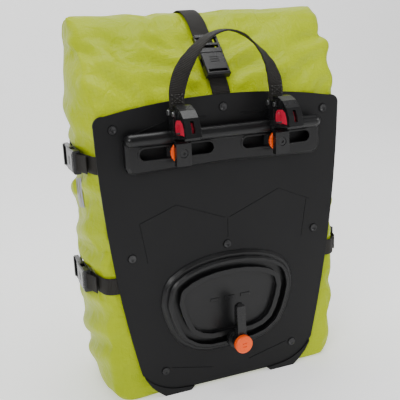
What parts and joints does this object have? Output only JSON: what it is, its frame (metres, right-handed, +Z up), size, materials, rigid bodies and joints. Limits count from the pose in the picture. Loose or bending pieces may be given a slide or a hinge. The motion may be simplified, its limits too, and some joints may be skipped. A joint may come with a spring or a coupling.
{
  "type": "bicycle pannier bag",
  "caption": "Roll-top bicycle pannier with a stiff back plate, two locking rack hooks on a rail, a swivelling lower fin, a webbing handle and side-release strap buckles.",
  "frame": {"origin": "middle of the whole object in plan, on the surface the bag stands on", "axes": "+X across the bag to the right when the plate is seen, +Z up, the plate and hooks face -Y"},
  "size_m": [0.3372, 0.2196, 0.451],
  "materials": {
    "shell_fabric": "coated ripstop with a soft sheen",
    "webbing": "ribbed woven webbing",
    "buckle_plastic": "smooth acetal",
    "plate_plastic": "fine textured moulding",
    "hook_plastic": "fine textured glass-filled moulding",
    "insert_red": "satin",
    "knob_orange": "satin",
    "steel": "dark zinc plated",
    "reflective": "reflective print",
    "stiffener_plastic": "smooth sheet"
  },
  "bodies": {
    "bag": {"back_plate": "plate_plastic", "plate_screws": "steel", "screw_washers": "steel", "inner_stiffener": "stiffener_plastic", "hook_rail": "plate_plastic", "rail_screws": "steel", "fin_track": "plate_plastic", "bag_back": "shell_fabric", "bag_front": "shell_fabric", "bag_side_left": "shell_fabric", "bag_side_right": "shell_fabric", "bag_bottom": "shell_fabric", "bag_collar": "shell_fabric", "roll_top": "shell_fabric", "roll_strip": "stiffener_plastic", "top_strap_lower": "webbing", "top_strap_upper": "webbing", "top_buckle_socket": "buckle_plastic", "corner_guard_left": "plate_plastic", "reflector_left": "reflective", "side_buckle_socket_upper_left": "buckle_plastic", "side_strap_upper_left": "webbing", "side_buckle_socket_lower_left": "buckle_plastic", "side_strap_lower_left": "webbing", "corner_guard_right": "plate_plastic", "reflector_right": "reflective", "side_buckle_socket_upper_right": "buckle_plastic", "side_strap_upper_right": "webbing", "side_buckle_socket_lower_right": "buckle_plastic", "side_strap_lower_right": "webbing"},
    "hook_left": {"hook_body_left": "hook_plastic", "hook_insert_left": "insert_red", "lever_pivot_pin_left": "steel", "lever_spring_left": "steel", "clamp_screw_left": "steel", "clamp_nut_left": "hook_plastic"},
    "lever_left": {"lock_lever_left": "hook_plastic", "webbing_pin_left": "steel"},
    "wheel_left": {"thumbwheel_left": "knob_orange"},
    "hook_right": {"hook_body_right": "hook_plastic", "hook_insert_right": "insert_red", "lever_pivot_pin_right": "steel", "lever_spring_right": "steel", "clamp_screw_right": "steel", "clamp_nut_right": "hook_plastic"},
    "lever_right": {"lock_lever_right": "hook_plastic", "webbing_pin_right": "steel"},
    "wheel_right": {"thumbwheel_right": "knob_orange"},
    "handle_loops": {"handle_end_loops": "webbing"},
    "handle": {"carry_handle": "webbing"},
    "anchor_slide": {"anchor_slider": "hook_plastic"},
    "anchor_arm": {"anchor_fin": "hook_plastic"},
    "knob": {"anchor_knob": "knob_orange"},
    "prong_upper_left": {"side_buckle_prong_upper_left": "buckle_plastic"},
    "prong_lower_left": {"side_buckle_prong_lower_left": "buckle_plastic"},
    "prong_upper_right": {"side_buckle_prong_upper_right": "buckle_plastic"},
    "prong_lower_right": {"side_buckle_prong_lower_right": "buckle_plastic"},
    "prong_top": {"top_buckle_prong": "buckle_plastic"}
  },
  "joints": [
    {"name": "hook_left_slide", "type": "slide", "parent": "bag", "child": "hook_left", "axis": [1, 0, 0], "range_m": [-0.02, 0.02]},
    {"name": "lever_left_pivot", "type": "hinge", "parent": "hook_left", "child": "lever_left", "pos_m": [-0.06, -0.07875, 0.347], "axis": [1, 0, 0], "range_deg": [0, 32], "stiffness_Nm_per_rad": 0.12, "springref_deg": -14.32},
    {"name": "wheel_left_turn", "type": "hinge", "parent": "hook_left", "child": "wheel_left", "pos_m": [-0.06, -0.06775, 0.3035], "axis": [0, -1, 0], "range_deg": [-180, 180]},
    {"name": "hook_right_slide", "type": "slide", "parent": "bag", "child": "hook_right", "axis": [1, 0, 0], "range_m": [-0.02, 0.02]},
    {"name": "lever_right_pivot", "type": "hinge", "parent": "hook_right", "child": "lever_right", "pos_m": [0.06, -0.07875, 0.347], "axis": [1, 0, 0], "range_deg": [0, 32], "stiffness_Nm_per_rad": 0.12, "springref_deg": -14.32},
    {"name": "wheel_right_turn", "type": "hinge", "parent": "hook_right", "child": "wheel_right", "pos_m": [0.06, -0.06775, 0.3035], "axis": [0, -1, 0], "range_deg": [-180, 180]},
    {"name": "handle_loops_turn", "type": "hinge", "parent": "lever_left", "child": "handle_loops", "pos_m": [-0.06, -0.06225, 0.347], "axis": [1, 0, 0], "range_deg": [-34, 2]},
    {"name": "handle_swing", "type": "hinge", "parent": "handle_loops", "child": "handle", "pos_m": [-0.06, -0.06225, 0.353], "axis": [1, 0, 0], "range_deg": [-4, 45]},
    {"name": "anchor_travel", "type": "slide", "parent": "bag", "child": "anchor_slide", "axis": [1, 0, 0], "range_m": [-0.022, 0.016]},
    {"name": "anchor_swivel", "type": "hinge", "parent": "anchor_slide", "child": "anchor_arm", "pos_m": [0.003, -0.06775, 0.0635], "axis": [0, -1, 0], "range_deg": [-90, 90]},
    {"name": "knob_turn", "type": "hinge", "parent": "anchor_slide", "child": "knob", "pos_m": [0.003, -0.08175, 0.0635], "axis": [0, -1, 0], "range_deg": [-180, 180]},
    {"name": "buckle_upper_left_pull", "type": "slide", "parent": "bag", "child": "prong_upper_left", "axis": [0, 1, 0], "range_m": [0, 0.021]},
    {"name": "buckle_lower_left_pull", "type": "slide", "parent": "bag", "child": "prong_lower_left", "axis": [0, 1, 0], "range_m": [0, 0.021]},
    {"name": "buckle_upper_right_pull", "type": "slide", "parent": "bag", "child": "prong_upper_right", "axis": [0, 1, 0], "range_m": [0, 0.021]},
    {"name": "buckle_lower_right_pull", "type": "slide", "parent": "bag", "child": "prong_lower_right", "axis": [0, 1, 0], "range_m": [0, 0.021]},
    {"name": "buckle_top_pull", "type": "slide", "parent": "bag", "child": "prong_top", "axis": [0, 0.6973, 0.7168], "range_m": [0, 0.021]}
  ],
  "couplings": [
    {"joint": "hook_right_slide", "follows": "hook_left_slide", "ratio": 1},
    {"joint": "lever_right_pivot", "follows": "lever_left_pivot", "ratio": 1},
    {"joint": "handle_loops_turn", "follows": "lever_left_pivot", "ratio": -1}
  ]
}
